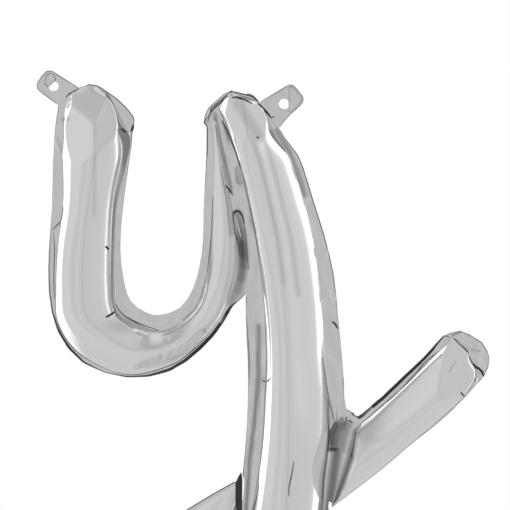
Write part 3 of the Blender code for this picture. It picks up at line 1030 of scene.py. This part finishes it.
def makeWeb(web):
    corners = [Vector(fromPicture(*point)) for point in web["outline"]]
    middle = sum(corners, Vector((0, 0))) / len(corners)
    turns, reaches = reachesAround(middle, corners)
    bm = bmesh.new()
    rimLayer, sealLayer, foldLayer = (bm.verts.layers.float.new(name) for name in ("rim", "seal", "fold"))
    numberLayer = bm.verts.layers.int.new("number")
    bmesh.ops.create_circle(bm, cap_ends=True, cap_tris=True, segments=tabForm["sides"], radius=0.6)
    numberRing(bm.verts, numberLayer, tabForm["sides"])
    ring = [edge for edge in bm.edges if all(v.co.length > 0.5 for v in edge.verts)]
    for row in (0.2, 0.4, 0.6, 0.8, "inside", "edge"):
        ring, made = extrudeRing(bm, ring)
        for vert in made:
            outer, reach = aim(turns[vert[numberLayer]]), reaches[vert[numberLayer]]
            beyond = (middle + outer * (reach + 1.2)) * mm
            free = not covered(Vector((beyond.x, 0, beyond.y)))
            edge = (middle + outer * reach) * mm
            width, darkness = edgeTone(Vector((edge.x, 0, edge.y)))
            inside = max(reach * 0.8, reach - width / mm)
            far = {"inside": inside, "edge": reach}.get(row) or reach * row * 0.9
            vert.co = (*(outer * max(0.7, far)), 0)
            # painted shade on the web's free edge
            vert[rimLayer] = darkness if row == "edge" and free else 0.0
    for vert in bm.verts:
        spot = Vector((vert.co.x + middle.x, vert.co.y + middle.y))
        crumple = noise.noise(Vector((spot.x / 5, spot.y / 5, 4)))
        vert[sealLayer] = 1.0
        # painted shade: the web's own, or that of the shade table
        vert[foldLayer] = max(web["shade"], foldShade(spot.x, spot.y))
        vert.co = Vector((spot.x, web["behind"] + crumple * web["crumple"], spot.y)) * mm
    turnToFront(bm)
    bmesh.ops.solidify(bm, geom=bm.faces[:], thickness=tabForm["thickness"])
    piece = finishPiece(bm, web["name"])
    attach(piece, web.get("body", "envelope"))
    print("made", web["name"])


# Creases drawn as thin lips of film that lie on the surface, darkened with painted shade so they read as dark
# lines
# Route across, down; width in mm; darkness of the painted shade

lips = (
    (((207.5, 123), (209.5, 115), (213, 109.5), (219, 104), (226, 98), (233.5, 93.5)), 1.1, 0.90),
    (((231.3, 98.6), (236, 97.4), (240.5, 98.6), (246, 101), (252.7, 104)), 1.5, 0.96),
    (((244.5, 94.7), (250, 95.2), (255, 98.5), (258, 102)), 1.8, 0.80),
    (((257, 103), (260, 106), (266, 111.5), (271.5, 118.3)), 1.7, 0.95),
    (((271, 118.3), (273.5, 116.8), (276, 117.3)), 1.2, 0.80),
    (((222, 120), (228, 133), (236, 152), (241, 170)), 1.8, 0.85),
    (((241, 168), (246, 190), (251, 215)), 1.0, 0.50),
    (((225, 185.5), (228.5, 189), (233, 195)), 1.3, 0.97),
    (((233.5, 223), (232.8, 216), (234.5, 212), (237.5, 211), (240.5, 213), (243, 218), (244.5, 227)),
     1.5, 0.95),
    (((244, 224), (246, 240), (247, 255), (248.5, 270)), 1.0, 0.75),
    (((233.5, 221), (235, 232), (238, 243), (239.5, 256)), 1.0, 0.85),
    (((212.7, 196), (211.4, 233.5), (207.3, 272)), 0.8, 0.65),
    (((207.8, 268), (198, 303), (182, 320.5)), 0.7, 0.28),
    (((115, 303), (119, 310), (125.7, 316.5), (141.7, 324.5), (159, 330.5)), 1.1, 0.75),
    (((106.6, 316.8), (111, 314.5), (115.8, 311.2)), 1.5, 0.97),
    (((106, 246), (109.5, 250)), 1.7, 0.95),
    (((64, 208), (62, 220), (57, 225), (52.7, 229.5)), 1.0, 0.65),
    (((53.5, 232), (54.5, 250), (53.8, 275), (54.5, 300)), 0.9, 0.60),
    (((65.5, 98.5), (68, 95), (73, 92), (79, 88.4)), 1.2, 0.88),
    (((121, 129), (123.5, 131), (126.5, 132)), 1.8, 0.88),
    (((133.3, 124.5), (132.5, 128.5), (131, 131.7)), 1.8, 0.97),
    (((262.4, 381), (267, 380.5), (270.6, 376.6)), 1.0, 0.80),
    (((293.3, 458.5), (291.7, 469), (288.5, 485.6), (288.5, 494)), 1.1, 0.78),
    (((322.8, 356), (325, 375), (328.2, 397), (331.5, 410), (334, 421)), 1.3, 0.60),
    (((331.7, 321.5), (335, 324), (338, 329)), 1.5, 0.90),
    (((255.5, 137.5), (257.5, 138.6), (259.5, 137.5)), 1.3, 0.80),
    (((235.7, 217.5), (238, 226), (241, 237.5)), 1.3, 0.0),
    (((336.5, 421), (332, 428), (330, 436), (328.8, 446)), 1.3, 0.80),
    (((348.5, 420), (352.5, 423)), 1.0, 0.80),
    (((351.5, 412.5), (354.5, 415)), 1.2, 0.80),
    (((354, 430), (375, 411.5), (401, 389.5)), 0.8, 0.45),
    (((399, 391.5), (415, 374), (424.8, 362.3), (438.8, 350.8)), 1.0, 0.65),
    (((451.6, 335.5), (458, 343), (467, 351.5), (469.5, 358), (472.5, 363.5)), 1.3, 0.90),
    (((471.5, 362.5), (476, 367), (481, 370.5), (484, 377)), 1.9, 0.97),
    (((459, 391), (465, 397.4)), 1.3, 0.85),
    (((448, 372), (456, 360)), 0.6, 0.20),
)
lipForm = {"sides": 8, "spacing": 0.8, "lift": 0.06, "thick": 0.16, "wider": 1.4}


def makeLips(pieces):
    verts, faces = [], []
    for piece in pieces:
        faces += [tuple(len(verts) + index for index in polygon.vertices) for polygon in piece.data.polygons]
        verts += [vert.co.copy() for vert in piece.data.vertices]
    surface = BVHTree.FromPolygons(verts, faces)
    bm = bmesh.new()
    sealLayer, foldLayer = bm.verts.layers.float.new("seal"), bm.verts.layers.float.new("fold")
    numberLayer = bm.verts.layers.int.new("number")
    sides = lipForm["sides"]
    for points, width, darkness in lips:
        route = routeFrom(points)
        rough = [catmull(route, k / 20) for k in range((len(route) - 1) * 20 + 1)]
        length = sum(math.dist(a, b) for a, b in zip(rough, rough[1:]))
        count = max(6, round(length / lipForm["spacing"]))
        spots = [rough[round(k / count * (len(rough) - 1))] for k in range(count + 1)]
        heights = []
        for x, z in spots:
            hit = surface.ray_cast(Vector((x, -200, z)) * mm, Vector((0, 1, 0)))[0]
            heights.append(hit.y / mm if hit else 0.0)
        heights = [min(heights[max(0, k - 1):k + 2]) for k in range(count + 1)]
        made = bmesh.ops.create_circle(bm, segments=sides, radius=1)["verts"]
        numberRing(made, numberLayer, sides)
        ring = list({edge for vert in made for edge in vert.link_edges})
        for k in range(count + 1):
            if k:
                ring, made = extrudeRing(bm, ring)
            step = Vector(spots[min(k + 1, count)]) - Vector(spots[max(k - 1, 0)])
            across = Vector((step.y, -step.x)).normalized()
            taper = max(0.02, math.sin(math.pi * min(1.0, max(0.0, k / count))) ** 0.45)
            for vert in made:
                turn = 2 * math.pi * vert[numberLayer] / sides
                aside = across * math.cos(turn) * width / 2 * lipForm["wider"] * taper
                out = heights[k] - lipForm["lift"] - lipForm["thick"] * math.sin(turn) * taper
                vert.co = Vector((spots[k][0] + aside.x, out, spots[k][1] + aside.y)) * mm
                # the lip's darkness is painted shade
                vert[sealLayer], vert[foldLayer] = 1.0, darkness
    piece = finishPiece(bm, "creaseLips")
    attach(piece, "envelope")
    print("made", len(lips), "crease lips")


strokes = []
for spec in (cup, stem, tail):
    stations = strokeStations(spec)
    bm = inflate(pillowMesh(spec, stations), spec, stations)
    shapeFilm(bm, spec)
    loop = seamLoop(bm)
    strokes.append({"spec": spec, "bm": bm, "loop": loop, "tree": seamTree([vert.co for vert in loop])})
    print("inflated", spec["name"])
sealed = []
for stroke in strokes:
    others = [other["tree"] for other in strokes if other is not stroke]
    bm = addFlange(stroke["bm"], stroke["loop"], stroke["tree"], others)
    for edge in bm.edges:
        edge.smooth = not edge.seam
    piece = finishPiece(bm, stroke["spec"]["name"])
    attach(piece, "envelope")
    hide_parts("front_film", "back_film")
    sealed.append(piece)
    print("sealed", piece.name, len(piece.data.polygons), "faces")
for web in webs:
    makeWeb(web)
for tab in tabs:
    makeTab(tab)
makeLips(sealed)
